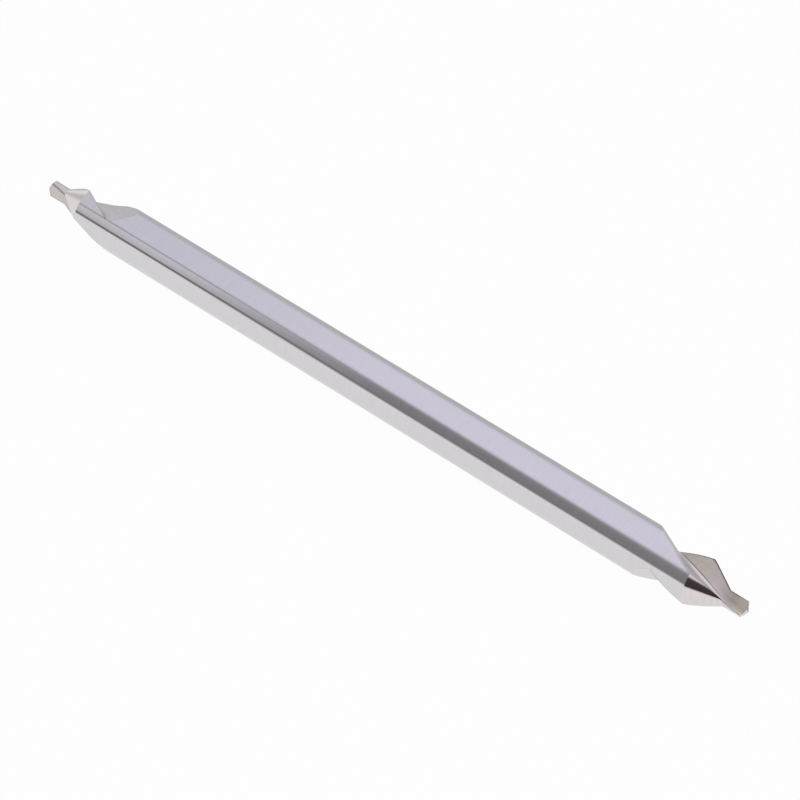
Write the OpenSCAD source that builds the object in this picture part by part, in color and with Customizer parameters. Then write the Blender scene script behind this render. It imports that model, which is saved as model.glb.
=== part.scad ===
// Double-ended centre drill: a round ground bar with a pilot, a countersink and
// two right-hand flutes at each end. Millimetres, axis along X, middle at the origin.

/* [Bar] */
// Length from one point to the other
overall_length = 100; // [50:1:160]
// Diameter of the ground bar
body_d = 6; // [4.5:0.1:10]

/* [Pilot] */
// Diameter across the pilot's cutting edges
pilot_d = 2; // [1.5:0.05:3]
// Length of the pilot behind its point
pilot_length = 2.15; // [1.5:0.05:4]
// Included angle of the point
point_angle = 118; // [100:1:140]

/* [Countersink] */
// Included angle of the countersink
sink_angle = 60; // [55:1:90]
// Eccentric relief of the lands behind their cutting edges
land_relief = 0.1; // [0.05:0.01:0.2]

/* [Flutes] */
// Length of one full turn of the rake face
flute_lead = 39.5; // [34:0.5:60]
// Share of that helix left from the countersink's middle to the point
pilot_twist = 0.2; // [0:0.05:0.5]
// Thickness of the web between the rake faces
web = 0.6; // [0.4:0.02:0.8]
// Length of the run-out behind the countersink
runout_length = 6.95; // [5:0.05:12]
// How far the flute floor passes the axis at the point
floor_past_axis = 0.75; // [0.4:0.05:0.9]
// Radius of the wheel that leaves the flute floor
wheel_radius = 30; // [25:1:80]

/* [Clocking] */
// Turn of the flutes at the +X end, from +Y towards +Z
near_clock = 30; // [0:1:180]
// Turn of the flutes at the -X end, from -Y towards +Z
far_clock = 106; // [0:1:180]

/* [Hidden] */
$fn = 96;
body_r = body_d / 2;
pilot_r = pilot_d / 2;
// Distances behind the point
point_length = pilot_r / tan(point_angle / 2);
pilot_end = point_length + pilot_length;
sink_length = (body_r - pilot_r) / tan(sink_angle / 2);
sink_end = pilot_end + sink_length;
flute_end = sink_end + runout_length;
// The rake face stands square to the flute floor halfway along the countersink
square_at = pilot_end + sink_length / 2;
// The two relieved halves meet inside the flutes, this far ahead of the floor's normal
split_turn = 69;
// Cutters reach past the surfaces that they cut
spare = 1;
cut_r = body_r + spare;
// The bar's turn about its axis: its start line then runs along a land at either end
bar_turn = 195 + (near_clock + 180 - far_clock) / 2;
// Facets of the helical rake face, along and around it
rake_slices = 28;
pilot_slices = 4;
rake_segments = 24;
twist_per_mm = 360 / flute_lead;

// Centre of the wheel: its rim passes the point at -floor_past_axis from the axis and
// meets the bar's surface at flute_end
chord = [flute_end, body_r + floor_past_axis];
half_chord = norm(chord) / 2;
wheel_rise = sqrt(wheel_radius * wheel_radius - half_chord * half_chord);
wheel_back = chord[0] / 2 - wheel_rise * chord[1] / norm(chord);
wheel_out = chord[1] / 2 - floor_past_axis + wheel_rise * chord[0] / norm(chord);

// Turned outline of one end, point at z = 0 and the bar towards -z, made smaller by the
// relief so that the shifted halves stay within the nominal diameters
module end_outline() {
    r = pilot_r - land_relief;
    reach = cut_r + land_relief;
    foot = pilot_end + (reach - r) / tan(sink_angle / 2);
    polygon([
        [0, 0],
        [r, -r / tan(point_angle / 2)],
        [r, -pilot_end],
        [reach, -foot],
        [0, -foot]
    ]);
}

// One relieved half: the turned form set over towards its own cutting edge
module relieved_half() {
    wide = 3 * cut_r;
    intersection() {
        translate([land_relief, 0, 0]) rotate_extrude() end_outline();
        translate([-wide, -wide, -wide]) cube([2 * wide, wide, 2 * wide]);
    }
}

// Everything outside the relieved point, pilot and countersink
module end_waste() {
    depth = pilot_end + (body_r + 2 * land_relief - pilot_r) / tan(sink_angle / 2);
    difference() {
        translate([0, 0, -depth]) cylinder(r = cut_r, h = depth + spare);
        for (half = [0, 1]) rotate([0, 0, split_turn + 180 * half]) relieved_half();
    }
}

// Space ahead of the rake face: full helix up to the countersink's middle
module ahead_of_rake() {
    length = flute_end + spare - square_at;
    translate([0, 0, -square_at - length])
        rotate([0, 0, -twist_per_mm * length])
            linear_extrude(
                height = length,
                twist = -twist_per_mm * length,
                slices = rake_slices,
                segments = rake_segments
            )
                ahead_outline();
}

// The same space from there to the point, where the helix eases off
module ahead_of_pilot() {
    length = square_at + spare;
    translate([0, 0, -square_at])
        linear_extrude(
            height = length,
            twist = -twist_per_mm * pilot_twist * length,
            slices = pilot_slices,
            segments = rake_segments
        )
            ahead_outline();
}

module ahead_outline() {
    translate([-cut_r, web / 2]) square([2 * cut_r, cut_r]);
}

// Disc of the wheel, rim along the flute floor
module wheel() {
    translate([wheel_out, 0, -wheel_back])
        rotate([90, 0, 0]) cylinder(r = wheel_radius, h = 4 * cut_r, center = true, $fn = 360);
}

module flute() {
    intersection() {
        ahead_of_rake();
        wheel();
    }
}

module pilot_flute() {
    intersection() {
        ahead_of_pilot();
        wheel();
    }
}

// Sets its children on the +X end, point outwards
module near_end() {
    translate([overall_length / 2, 0, 0]) rotate([90, 0, 90]) rotate([0, 0, near_clock]) children();
}

// Sets its children on the -X end, turned round so that the hand stays the same
module far_end() {
    rotate([0, 0, 180])
        translate([overall_length / 2, 0, 0]) rotate([90, 0, 90]) rotate([0, 0, far_clock]) children();
}

// The other tooth's side of an end
module opposite() {
    rotate([0, 0, 180]) children();
}

// Bar with both ends turned and relieved, before its flutes
module turned_bar() {
    difference() {
        rotate([0, 90, 0]) rotate([0, 0, bar_turn]) cylinder(r = body_r, h = overall_length, center = true);
        near_end() end_waste();
        far_end() end_waste();
    }
}

module centre_drill() {
    color([0.78, 0.77, 0.79])
        difference() {
            turned_bar();
            near_end() flute();
            near_end() opposite() flute();
            far_end() flute();
            far_end() opposite() flute();
            near_end() pilot_flute();
            near_end() opposite() pilot_flute();
            far_end() pilot_flute();
            far_end() opposite() pilot_flute();
        }
}

centre_drill();
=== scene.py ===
import bpy, bmesh
from math import radians, sin, cos, tan, sqrt, hypot, pi
from mathutils import Euler, Matrix, Vector


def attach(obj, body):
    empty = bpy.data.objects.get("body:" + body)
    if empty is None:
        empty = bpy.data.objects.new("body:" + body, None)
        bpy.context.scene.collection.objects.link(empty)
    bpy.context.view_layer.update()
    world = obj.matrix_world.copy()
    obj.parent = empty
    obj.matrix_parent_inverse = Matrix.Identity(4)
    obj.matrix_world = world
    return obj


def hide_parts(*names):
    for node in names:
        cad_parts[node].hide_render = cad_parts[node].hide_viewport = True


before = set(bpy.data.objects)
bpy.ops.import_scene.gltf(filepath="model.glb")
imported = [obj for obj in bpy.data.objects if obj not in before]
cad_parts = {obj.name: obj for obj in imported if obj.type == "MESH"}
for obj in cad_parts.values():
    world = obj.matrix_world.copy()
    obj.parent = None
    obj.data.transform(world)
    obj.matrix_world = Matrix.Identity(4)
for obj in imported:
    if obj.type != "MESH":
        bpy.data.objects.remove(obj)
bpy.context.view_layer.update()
mm = 0.001
scene = bpy.context.scene
scene.view_settings.view_transform = "Standard"

# the drill, in mm and degrees: first the values of the CAD, then those of the finer form
drill = {
    "overallLength": 100.0,
    "bodyRadius": 3.0,
    "pilotRadius": 1.0,
    "pilotLength": 2.15,
    "pointAngle": 118.0,
    "sinkAngle": 60.0,
    "landRelief": 0.1,
    "fluteLead": 39.5,
    "web": 0.6,
    "runoutLength": 6.95,
    "floorPastAxis": 0.75,
    "wheelRadius": 30.0,
    "nearClock": 30.0,
    "farClock": 106.0,
    "splitTurn": 69.0,
    "spare": 1.0,              # cutters reach past what they cut
    "overlap": 0.01,           # the two relieved halves share this much
    "runPast": 0.2,            # the flute's cutter starts this far behind the run-out
    "floorReach": 7.0,
    "rakeReach": 6.0,
    "outerCorner": (9.0, 6.0),
    "cornerRadius": 1.3,       # left by the wheel's worn corner at the run-out
    "pilotCorner": 0.08,
    "cornerFullAt": 8.5,
    "pilotTwist": 0.2,         # share of the helix that is left at the pilot
    "easing": 1.5,
    "heelDrop": 0.85,          # the floor falls away towards the land's heel
    "heelAt": 5.8,
    "heelReach": 4.2,
    "heelWidth": 3.0,
    "heelMost": 1.5,
    "tintedTo": 3.6,           # the tip's flutes are tinted as far back as this
    "loopsAt": (-36, -20, 0, 20, 36),
    "mergeWithin": 1e-3,
    "sharpAngle": 16.0,
    "wasteSteps": 64,
    "aroundSteps": 192,
    "fluteSteps": 160,
    "acrossSteps": 12,
    "cornerSteps": 8,
}
d = drill
pointLength = d["pilotRadius"] / tan(radians(d["pointAngle"] / 2))
pilotEnd = pointLength + d["pilotLength"]
sinkSlope = tan(radians(d["sinkAngle"] / 2))
sinkLength = (d["bodyRadius"] - d["pilotRadius"]) / sinkSlope
sinkEnd = pilotEnd + sinkLength
fluteEnd = sinkEnd + d["runoutLength"]
squareAt = pilotEnd + sinkLength / 2
cutRadius = d["bodyRadius"] + d["spare"]


def newObject(name, bm, materials):
    bmesh.ops.recalc_face_normals(bm, faces=bm.faces)
    mesh = bpy.data.meshes.new(name)
    bm.to_mesh(mesh)
    bm.free()
    for material in materials:
        mesh.materials.append(material)
    ob = bpy.data.objects.new(name, mesh)
    scene.collection.objects.link(ob)
    return ob


def cutBy(ob, tool, how):
    mod = ob.modifiers.new(how.lower(), "BOOLEAN")
    mod.object, mod.operation, mod.solver = tool, how, "EXACT"
    mod.material_mode = "TRANSFER"
    bpy.context.view_layer.update()
    cut = ob.evaluated_get(bpy.context.evaluated_depsgraph_get())
    shaped = bpy.data.meshes.new_from_object(cut)
    ob.modifiers.clear()
    ob.data = shaped
    bpy.data.objects.remove(tool)
    return ob


# the finishes
finish = {
    "grainSpan": (0.3, 0.7),
    "rimSpan": (0.55, 0.86),
    "rimSamples": 16,
    "wheelLines": (400, 4000, 4000),
}


def nodeMaterial(name):
    material = bpy.data.materials.new(name)
    material.use_nodes = True
    nodes, links = material.node_tree.nodes, material.node_tree.links
    shader = nodes["Principled BSDF"]
    shader.inputs["Metallic"].default_value = 1.0
    place = nodes.new("ShaderNodeTexCoord")
    return material, nodes, links, shader, place.outputs["Object"]


def ramp(nodes, stops):
    node = nodes.new("ShaderNodeValToRGB")
    stopsOf = node.color_ramp.elements
    stopsOf.remove(stopsOf[1])
    stopsOf[0].position, stopsOf[0].color = stops[0][0], (*stops[0][1], 1)
    for at, colour in stops[1:]:
        stopsOf.new(at).color = (*colour, 1)
    return node


def setSpan(node, span):
    node.inputs["From Min"].default_value, node.inputs["From Max"].default_value = span


def mixColour(nodes, links, share, colour, paintedTone):
    mix = nodes.new("ShaderNodeMix")
    mix.data_type = "RGBA"
    mix.inputs["B"].default_value = (*paintedTone, 1)
    links.new(share, mix.inputs["Factor"])
    links.new(colour, mix.inputs["A"])
    return mix.outputs["Result"]


def stretchedNoise(nodes, links, place, scale, detail=3.0):
    mapping = nodes.new("ShaderNodeMapping")
    mapping.inputs["Scale"].default_value = scale
    links.new(place, mapping.inputs["Vector"])
    noise = nodes.new("ShaderNodeTexNoise")
    noise.inputs["Scale"].default_value = 1.0
    noise.inputs["Detail"].default_value = detail
    links.new(mapping.outputs["Vector"], noise.inputs["Vector"])
    return noise


def groundFinish(name, dark, light, rough, lines, bumpDepth, edge=None, paintedTipHighlight=None):
    material, nodes, links, shader, place = nodeMaterial(name)
    grain = stretchedNoise(nodes, links, place, lines)
    tone = ramp(nodes, list(zip(finish["grainSpan"], (dark, light))))
    links.new(grain.outputs["Fac"], tone.inputs["Fac"])
    colour = tone.outputs["Color"]
    if edge:  # painted shade: a dark rim along the edges and thin places, from ambient occlusion
        reach, paintedTone, strength = edge
        rim = nodes.new("ShaderNodeAmbientOcclusion")
        rim.inside, rim.only_local, rim.samples = True, True, finish["rimSamples"]
        rim.inputs["Distance"].default_value = reach
        level = nodes.new("ShaderNodeMapRange")
        setSpan(level, finish["rimSpan"])
        level.inputs["To Min"].default_value, level.inputs["To Max"].default_value = strength, 0.0
        links.new(rim.outputs["AO"], level.inputs["Value"])
        colour = mixColour(nodes, links, level.outputs["Result"], colour, paintedTone)
    if paintedTipHighlight:  # painted highlight: lighter and yellower towards the near point
        span, paintedTone, strength = paintedTipHighlight
        split = nodes.new("ShaderNodeSeparateXYZ")
        links.new(place, split.inputs["Vector"])
        near = nodes.new("ShaderNodeMapRange")
        setSpan(near, span)
        near.inputs["To Max"].default_value = strength
        links.new(split.outputs["X"], near.inputs["Value"])
        colour = mixColour(nodes, links, near.outputs["Result"], colour, paintedTone)
    links.new(colour, shader.inputs["Base Color"])
    spread = nodes.new("ShaderNodeMapRange")
    setSpan(spread, finish["grainSpan"])
    spread.inputs["To Min"].default_value, spread.inputs["To Max"].default_value = rough
    links.new(grain.outputs["Fac"], spread.inputs["Value"])
    links.new(spread.outputs["Result"], shader.inputs["Roughness"])
    bump = nodes.new("ShaderNodeBump")
    bump.inputs["Strength"].default_value = 1.0
    bump.inputs["Distance"].default_value = bumpDepth
    links.new(grain.outputs["Fac"], bump.inputs["Height"])
    links.new(bump.outputs["Normal"], shader.inputs["Normal"])
    return material


# grinding marks run round the bar, and along the wheel's path in the flutes
# the dark rims given to the bar, lands and rakes are painted shade along the edges
polishedBar = groundFinish("polishedBar", (0.72, 0.715, 0.725), (0.77, 0.765, 0.775), (0.05, 0.08),
                           (9000, 300, 300), 1e-7, (2e-4, (0.20, 0.19, 0.20), 0.6))
groundLand = groundFinish("groundLand", (0.76, 0.735, 0.71), (0.82, 0.795, 0.77), (0.08, 0.12),
                          (6000, 400, 400), 1e-7, (2e-4, (0.20, 0.19, 0.20), 0.6))
satinFloor = groundFinish("satinFloor", (0.75, 0.74, 0.735), (0.82, 0.81, 0.80), (0.22, 0.28),
                          finish["wheelLines"], 2e-8)
# the near rake is tinted, and also gets a painted yellowish highlight towards the tip
tintedRakeWithPaintedHighlight = groundFinish("tintedRakeWithPaintedHighlight", (0.615, 0.557, 0.495), (0.685, 0.623, 0.558), (0.20, 0.28),
                          finish["wheelLines"], 3e-8, (3e-4, (0.10, 0.075, 0.06), 1.0),
                          ((0.0480, 0.0494), (1.0, 0.92, 0.71), 0.9))
cleanRake = groundFinish("cleanRake", (0.65, 0.605, 0.575), (0.72, 0.67, 0.635), (0.20, 0.28),
                         finish["wheelLines"], 3e-8, (3e-4, (0.30, 0.27, 0.26), 0.6))
brightCorner = groundFinish("brightCorner", (0.77, 0.74, 0.715), (0.83, 0.80, 0.775), (0.18, 0.24),
                            finish["wheelLines"], 2e-8)
# painted shade for the crease between the flute's rounded corner and the rake face
creaseShade = groundFinish("creaseShade", (0.24, 0.21, 0.20), (0.32, 0.28, 0.27), (0.25, 0.32),
                          finish["wheelLines"], 2e-8)
print("finishes ready")


# one end is made with its point at z = 0 and the bar towards -z, then set on either end
def endPlace(clock, far):
    out = Matrix.Translation((d["overallLength"] / 2, 0, 0))
    stand = Matrix(((0, 0, 1, 0), (1, 0, 0, 0), (0, 1, 0, 0), (0, 0, 0, 1)))
    turned = Matrix.Rotation(radians(clock), 4, "Z")
    flip = Matrix.Rotation(pi, 4, "Z") if far else Matrix.Identity(4)
    return flip @ out @ stand @ turned


def relievedHalf(turn):
    r = d["pilotRadius"] - d["landRelief"]
    reach = cutRadius + d["landRelief"]
    foot = pilotEnd + (reach - r) / sinkSlope
    shoulder = -r / tan(radians(d["pointAngle"] / 2))
    outline = [(0, 0), (r, shoulder), (r, -pilotEnd), (reach, -foot), (0, -foot)]
    bm = bmesh.new()
    points = [bm.verts.new((x, 0, z)) for x, z in outline]
    rim = [bm.edges.new((points[i], points[i + 1])) for i in range(len(points) - 1)]
    bmesh.ops.spin(bm, geom=points + rim, cent=(0, 0, 0), axis=(0, 0, 1), angle=2 * pi,
                   steps=d["aroundSteps"], use_merge=True)
    bmesh.ops.remove_doubles(bm, verts=bm.verts, dist=1e-5)
    bmesh.ops.translate(bm, verts=bm.verts, vec=(d["landRelief"], 0, 0))
    kept = bmesh.ops.bisect_plane(bm, geom=bm.verts[:] + bm.edges[:] + bm.faces[:], dist=1e-6,
                                  plane_co=(0, d["overlap"], 0), plane_no=(0, 1, 0),
                                  clear_outer=True)
    rim = [e for e in kept["geom_cut"] if isinstance(e, bmesh.types.BMEdge)]
    bmesh.ops.contextual_create(bm, geom=rim)
    bmesh.ops.rotate(bm, verts=bm.verts, cent=(0, 0, 0), matrix=Matrix.Rotation(turn, 3, "Z"))
    return bm


def endWaste(place):
    depth = pilotEnd + (d["bodyRadius"] + 2 * d["landRelief"] - d["pilotRadius"]) / sinkSlope
    height = depth + d["spare"]
    bm = bmesh.new()
    bmesh.ops.create_cone(bm, cap_ends=True, segments=d["wasteSteps"], radius1=cutRadius,
                          radius2=cutRadius, depth=height)
    bmesh.ops.translate(bm, verts=bm.verts, vec=(0, 0, height / 2 - depth))
    waste = newObject("endWaste", bm, [groundLand])
    for half in (0, 1):
        turned = relievedHalf(radians(d["splitTurn"] + 180 * half))
        waste = cutBy(waste, newObject("half", turned, [groundLand]), "DIFFERENCE")
    waste.data.transform(place)
    return waste


# one slice of the flute at height z: floor, rounded corner, rake face, then round outside the bar
def fluteSlice(z):
    chord = (fluteEnd, d["bodyRadius"] + d["floorPastAxis"])
    rise = sqrt(d["wheelRadius"] ** 2 - (hypot(*chord) / 2) ** 2)
    back = chord[0] / 2 - rise * chord[1] / hypot(*chord)
    out = chord[1] / 2 - d["floorPastAxis"] + rise * chord[0] / hypot(*chord)
    floorAt = out - sqrt(d["wheelRadius"] ** 2 - (z + back) ** 2)
    past = z + squareAt  # the helix eases off where the wheel comes to the pilot
    eased = max(past, 0)
    if abs(past) < d["easing"]:
        eased = d["easing"] / 4 * (1 + past / d["easing"]) ** 2
    turn = 2 * pi / d["fluteLead"] * (past - (1 - d["pilotTwist"]) * eased)
    along, up = Vector((cos(turn), sin(turn))), Vector((0, 1))
    half = (pi / 2 - turn) / 2
    corner = Vector((floorAt, max((d["web"] / 2 + floorAt * sin(turn)) / cos(turn), -cutRadius)))
    share = min(max((-z - pilotEnd) / (d["cornerFullAt"] - pilotEnd), 0), 1)
    radius = d["pilotCorner"] + (d["cornerRadius"] - d["pilotCorner"]) * share
    reach = radius / tan(half)
    middle = corner + (up + along).normalized() * radius / sin(half)
    first, last = corner + up * reach, corner + along * reach
    steps = d["acrossSteps"]
    points = [(corner + up * d["floorReach"]).lerp(first, i / steps) for i in range(steps)]
    drop = d["heelDrop"] * max(1 - ((z + d["heelAt"]) / d["heelReach"]) ** 2, 0) ** 2
    for q in points:
        q.x -= drop * min((q.y - first.y) / d["heelWidth"], d["heelMost"]) ** 2
    for i in range(d["cornerSteps"]):
        arm = (first - middle).slerp(last - middle, i / d["cornerSteps"])  # a unit vector
        points.append(middle + arm * radius)
    points += [last.lerp(corner + along * d["rakeReach"], i / steps) for i in range(steps + 1)]
    points.append(Vector(d["outerCorner"]))
    return [Vector((q.x, q.y, z)) for q in points]


def flute(place, rake):
    start, length = -fluteEnd - d["runPast"], fluteEnd + d["runPast"] + d["spare"]
    bm = bmesh.new()
    slot = bm.verts.layers.int.new("slot")
    ring = [bm.verts.new(q) for q in fluteSlice(start)]
    for i, v in enumerate(ring):
        v[slot] = i
    loop = [bm.edges.new((v, ring[(i + 1) % len(ring)])) for i, v in enumerate(ring)]
    bmesh.ops.contextual_create(bm, geom=loop)
    for step in range(1, d["fluteSteps"] + 1):
        grown = bmesh.ops.extrude_edge_only(bm, edges=loop)["geom"]
        points = fluteSlice(start + length * step / d["fluteSteps"])
        loop = [e for e in grown if isinstance(e, bmesh.types.BMEdge)]
        for v in (g for g in grown if isinstance(g, bmesh.types.BMVert)):
            v.co = points[v[slot]]
    bmesh.ops.contextual_create(bm, geom=loop)
    rakeFrom = d["acrossSteps"] + d["cornerSteps"]
    for f in bm.faces:
        slots = [v[slot] for v in f.verts]
        onRake = rakeFrom <= min(slots) and max(slots) <= rakeFrom + d["acrossSteps"]
        inCorner = d["acrossSteps"] <= min(slots) and max(slots) <= rakeFrom
        z = f.calc_center_median().z
        f.material_index = 0 if onRake or z > -d["tintedTo"] else 1
        if inCorner and z < -pilotEnd:  # painted shade: the last strip is a dark line in the crease beside the rake face
            f.material_index = 3 if max(slots) == rakeFrom else 2
    cutter = newObject("flute", bm, [rake, satinFloor, brightCorner, creaseShade])
    cutter.data.transform(place)
    return cutter


def orderAt(v):  # a number that few points share
    return v.co.x + 7 * v.co.y + 49 * v.co.z


def makeDrill():
    bm = bmesh.new()
    bmesh.ops.create_cone(bm, cap_ends=True, segments=d["aroundSteps"], radius1=d["bodyRadius"],
                          radius2=d["bodyRadius"], depth=d["overallLength"],
                          matrix=Matrix.Rotation(pi / 2, 4, "Y"))
    for x in d["loopsAt"]:  # loops that keep the ends' cuts out of the long faces
        bmesh.ops.bisect_plane(bm, geom=bm.verts[:] + bm.edges[:] + bm.faces[:],
                               plane_co=(x, 0, 0), plane_no=(1, 0, 0))
    bar = newObject("centreDrill", bm, [polishedBar])
    ends = [endPlace(d["nearClock"], False), endPlace(d["farClock"], True)]
    for end in ends:
        bar = cutBy(bar, endWaste(end), "DIFFERENCE")
    for end, rake in zip(ends, (tintedRakeWithPaintedHighlight, cleanRake)):
        for side in (0, pi):
            bar = cutBy(bar, flute(end @ Matrix.Rotation(side, 4, "Z"), rake), "DIFFERENCE")
    bm = bmesh.new()
    bm.from_mesh(bar.data)
    bm.verts.sort(key=orderAt)  # the cuts come in any order: sorted, the mesh is the same each run
    for parts in (bm.edges, bm.faces):
        parts.sort(key=lambda part: sum(orderAt(v) for v in part.verts))
    bmesh.ops.remove_doubles(bm, verts=bm.verts, dist=d["mergeWithin"])
    bmesh.ops.dissolve_degenerate(bm, edges=bm.edges, dist=d["mergeWithin"])
    bmesh.ops.triangulate(bm, faces=[f for f in bm.faces if len(f.verts) > 4])
    bmesh.ops.dissolve_degenerate(bm, edges=bm.edges, dist=d["mergeWithin"])
    bmesh.ops.triangulate(bm, faces=bm.faces)
    alike = {}
    for f in bm.faces:
        alike.setdefault(frozenset(f.verts), []).append(f)
    # slivers folded onto themselves
    folded = [f for same in alike.values() if len(same) > 1 for f in same]
    bmesh.ops.delete(bm, geom=folded, context="FACES")
    bm.to_mesh(bar.data)
    bm.free()
    bar.data.transform(Matrix.Scale(mm, 4))
    bar.data.polygons.foreach_set("use_smooth", [True] * len(bar.data.polygons))
    bar.data.set_sharp_from_angle(angle=radians(d["sharpAngle"]))
    bm = bmesh.new()
    bm.from_mesh(bar.data)
    kinds = [(m not in (polishedBar, groundLand)) + 2 * (m is groundLand)
             for m in bar.data.materials]
    for e in bm.edges:  # every ground edge stays crisp
        if len({kinds[f.material_index] for f in e.link_faces}) > 1:
            e.smooth = False
    bm.to_mesh(bar.data)
    bm.free()
    return bar


piece = makeDrill()
print("drill cut:", len(piece.data.polygons), "faces,", [m.name for m in piece.data.materials])
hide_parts("centre_drill")
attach(piece, "root")


# the stage: a pale floor, what the steel mirrors, and the camera at the photo's angle
stage = {
    "floorAt": -3.0 * mm,
    "floorSize": 3.0,
    "floorTone": (0.86, 0.855, 0.86),
    "floorRough": 0.9,
    "floorSpecular": 0.1,
    "floorGlow": 0.97,         # what the camera sees of it
    "mirroredGlow": 0.80,      # what the steel sees of it
    "mirroredFront": (0.94, 0.925, 0.935),
    "mirroredBackShade": (0.52, 0.515, 0.53),
    "backFrom": 6 * mm,
    "darkFrom": (-64 * mm, -52 * mm),
    "darkSlant": 0.65,
    "azimuth": 39.988,
    "elevation": 46.577,
    "distance": 350.608 * mm,
    "lens": 143.172,
    "sensor": 36.0,
    "clipStart": 0.01,
    "aside": (0.397, -0.254),  # degrees that the camera looks past the middle, right and up
}


def makeFloor():
    bm = bmesh.new()
    bmesh.ops.create_grid(bm, x_segments=2, y_segments=2, size=stage["floorSize"])
    bmesh.ops.translate(bm, verts=bm.verts, vec=(0, 0, stage["floorAt"]))
    material = bpy.data.materials.new("paleFloor")
    material.use_nodes = True
    nodes, links = material.node_tree.nodes, material.node_tree.links
    shader = nodes["Principled BSDF"]
    shader.inputs["Base Color"].default_value = (*stage["floorTone"], 1)
    shader.inputs["Roughness"].default_value = stage["floorRough"]
    shader.inputs["Specular IOR Level"].default_value = stage["floorSpecular"]
    path = nodes.new("ShaderNodeLightPath")
    place = nodes.new("ShaderNodeTexCoord")
    split = nodes.new("ShaderNodeSeparateXYZ")
    links.new(place.outputs["Object"], split.inputs["Vector"])
    # painted shade: the floor the steel mirrors turns grey behind the bar, except far to the left
    depth = nodes.new("ShaderNodeMapRange")
    depth.inputs["From Max"].default_value = stage["backFrom"]
    links.new(split.outputs["Y"], depth.inputs["Value"])
    slant = nodes.new("ShaderNodeMath")
    slant.operation = "MULTIPLY_ADD"
    slant.inputs[1].default_value = stage["darkSlant"]
    links.new(split.outputs["Y"], slant.inputs[0])
    links.new(split.outputs["X"], slant.inputs[2])
    beside = nodes.new("ShaderNodeMapRange")
    setSpan(beside, stage["darkFrom"])
    links.new(slant.outputs["Value"], beside.inputs["Value"])
    behind = nodes.new("ShaderNodeMath")
    behind.operation = "MULTIPLY"
    links.new(depth.outputs["Result"], behind.inputs[0])
    links.new(beside.outputs["Result"], behind.inputs[1])
    tone = ramp(nodes, [(0.0, stage["mirroredFront"]), (1.0, stage["mirroredBackShade"])])
    links.new(behind.outputs["Value"], tone.inputs["Fac"])
    under = shader.outputs["BSDF"]
    for ray, share, colour in (("Is Glossy Ray", "mirroredGlow", tone.outputs["Color"]),
                               ("Is Camera Ray", "floorGlow", None)):
        glow = nodes.new("ShaderNodeEmission")  # white sweep for the camera, and for the steel a sweep with painted shade behind the bar; the shadow stays in the rest
        glow.inputs["Strength"].default_value = 1.0
        if colour:
            links.new(colour, glow.inputs["Color"])
        part = nodes.new("ShaderNodeMath")
        part.operation = "MULTIPLY"
        part.inputs[1].default_value = stage[share]
        links.new(path.outputs[ray], part.inputs[0])
        mix = nodes.new("ShaderNodeMixShader")
        links.new(part.outputs["Value"], mix.inputs["Fac"])
        links.new(under, mix.inputs[1])
        links.new(glow.outputs["Emission"], mix.inputs[2])
        under = mix.outputs["Shader"]
    links.new(under, nodes["Material Output"].inputs["Surface"])
    floor = newObject("floor", bm, [material])


# what the steel mirrors, by the angle from the front horizon over the top to the far one
studio = {
    "farLeft": [(0, (0.86, 0.84, 0.85)), (11, (0.86, 0.84, 0.85)), (16.5, (0.13, 0.12, 0.13)),
                (20, (0.18, 0.17, 0.18)), (25, (0.55, 0.53, 0.55)), (52, (0.68, 0.655, 0.68)),
                (57, (0.38, 0.37, 0.39)), (60, (0.54, 0.52, 0.55)), (64, (0.68, 0.65, 0.685)),
                (160, (0.66, 0.64, 0.67)), (172, (0.55, 0.54, 0.56)), (180, (0.60, 0.60, 0.62))],
    "leftRoom": [(0, (0.86, 0.84, 0.85)), (11, (0.86, 0.84, 0.85)), (16.5, (0.13, 0.12, 0.13)),
                 (20, (0.18, 0.17, 0.18)), (25, (0.57, 0.55, 0.59)), (52, (0.70, 0.68, 0.735)),
                 (57, (0.38, 0.37, 0.41)), (60, (0.54, 0.53, 0.60)), (64, (0.70, 0.68, 0.79)),
                 (160, (0.70, 0.68, 0.78)), (172, (0.55, 0.54, 0.58)), (180, (0.60, 0.60, 0.62))],
    "rightRoom": [(0, (0.87, 0.86, 0.87)), (6, (0.87, 0.86, 0.87)), (14.5, (0.23, 0.21, 0.225)),
                  (20, (0.25, 0.23, 0.245)), (30, (0.25, 0.23, 0.245)), (45, (0.27, 0.245, 0.265)),
                  (53, (0.32, 0.295, 0.32)), (58, (0.47, 0.445, 0.49)), (63, (0.70, 0.67, 0.76)),
                  (70, (0.79, 0.76, 0.89)), (150, (0.79, 0.76, 0.88)), (166, (0.70, 0.68, 0.78)),
                  (174, (0.54, 0.53, 0.56)), (180, (0.60, 0.60, 0.62))],
    "darkSide": [(0, (0.70, 0.69, 0.70)), (4, (0.70, 0.69, 0.70)), (5, (0.045, 0.035, 0.037)),
                 (46, (0.06, 0.05, 0.05)), (53, (0.78, 0.74, 0.76)), (75, (0.78, 0.745, 0.785)),
                 (150, (0.76, 0.73, 0.84)), (180, (0.60, 0.60, 0.62))],
    "farToLeft": (-0.539, -0.529),
    "leftToRight": (-0.508, -0.440),
    "rightToDark": (0.05, 0.30),
}


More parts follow.
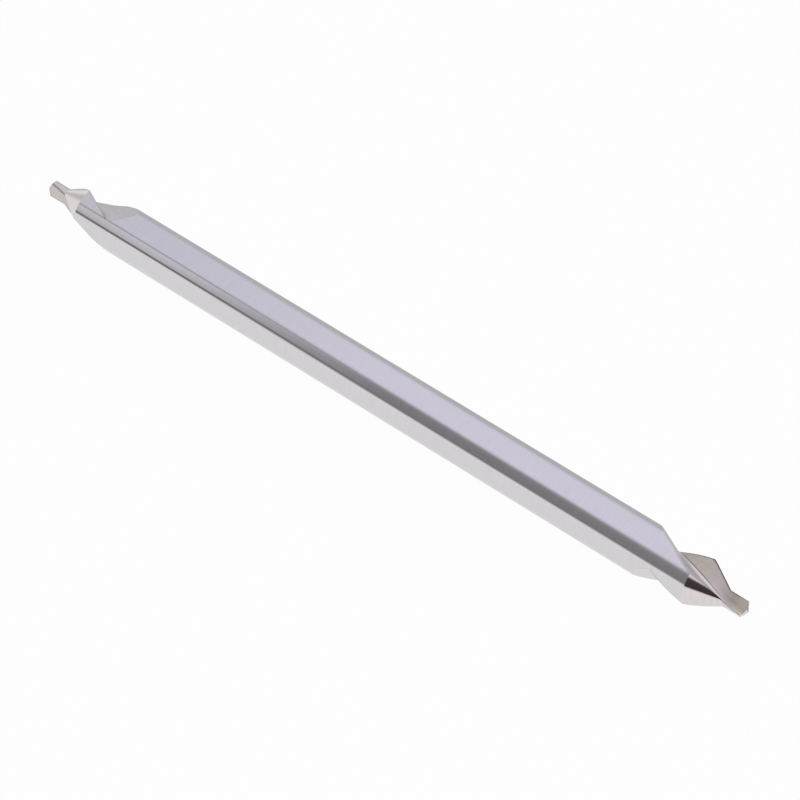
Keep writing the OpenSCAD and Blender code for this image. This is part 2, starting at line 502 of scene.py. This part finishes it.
def makeWorld():
    world = bpy.data.worlds.new("studio")
    scene.world = world
    world.use_nodes = True
    nodes, links = world.node_tree.nodes, world.node_tree.links
    place = nodes.new("ShaderNodeTexCoord")
    split = nodes.new("ShaderNodeSeparateXYZ")
    links.new(place.outputs["Generated"], split.inputs["Vector"])
    front = nodes.new("ShaderNodeMath")
    front.operation = "MULTIPLY"
    front.inputs[1].default_value = -1.0
    links.new(split.outputs["Y"], front.inputs[0])
    angle = nodes.new("ShaderNodeMath")
    angle.operation = "ARCTAN2"
    links.new(split.outputs["Z"], angle.inputs[0])
    links.new(front.outputs["Value"], angle.inputs[1])
    half = nodes.new("ShaderNodeMath")
    half.operation = "DIVIDE"
    half.inputs[1].default_value = pi
    links.new(angle.outputs["Value"], half.inputs[0])

    def room(name):
        node = ramp(nodes, [(at / 180, colour) for at, colour in studio[name]])
        links.new(half.outputs["Value"], node.inputs["Fac"])
        return node.outputs["Color"]

    def along(first, second, span):
        share = nodes.new("ShaderNodeMapRange")
        setSpan(share, span)
        links.new(split.outputs["X"], share.inputs["Value"])
        mix = nodes.new("ShaderNodeMix")
        mix.data_type = "RGBA"
        links.new(share.outputs["Result"], mix.inputs["Factor"])
        links.new(first, mix.inputs["A"])
        links.new(second, mix.inputs["B"])
        return mix.outputs["Result"]

    colour = along(room("farLeft"), room("leftRoom"), studio["farToLeft"])
    colour = along(colour, room("rightRoom"), studio["leftToRight"])
    colour = along(colour, room("darkSide"), studio["rightToDark"])
    path = nodes.new("ShaderNodeLightPath")
    white = nodes.new("ShaderNodeMix")
    white.data_type = "RGBA"
    white.inputs["B"].default_value = (1, 1, 1, 1)
    links.new(path.outputs["Is Camera Ray"], white.inputs["Factor"])
    links.new(colour, white.inputs["A"])
    links.new(white.outputs["Result"], nodes["Background"].inputs["Color"])
    nodes["Background"].inputs["Strength"].default_value = 1.0


def makeCamera():
    data = bpy.data.cameras.new("camera")
    data.lens, data.sensor_width = stage["lens"], stage["sensor"]
    data.clip_start = stage["clipStart"]
    ob = bpy.data.objects.new("camera", data)
    scene.collection.objects.link(ob)
    a, e = radians(stage["azimuth"]), radians(stage["elevation"])
    ob.location = Vector((sin(a) * cos(e), -cos(a) * cos(e), sin(e))) * stage["distance"]
    right, up = (radians(angle) for angle in stage["aside"])
    facing = Euler((pi / 2 - e, 0, a)).to_matrix() @ Euler((up, -right, 0)).to_matrix()
    ob.rotation_euler = facing.to_euler()
    scene.camera = ob


makeFloor()
makeWorld()
makeCamera()
print("stage set")
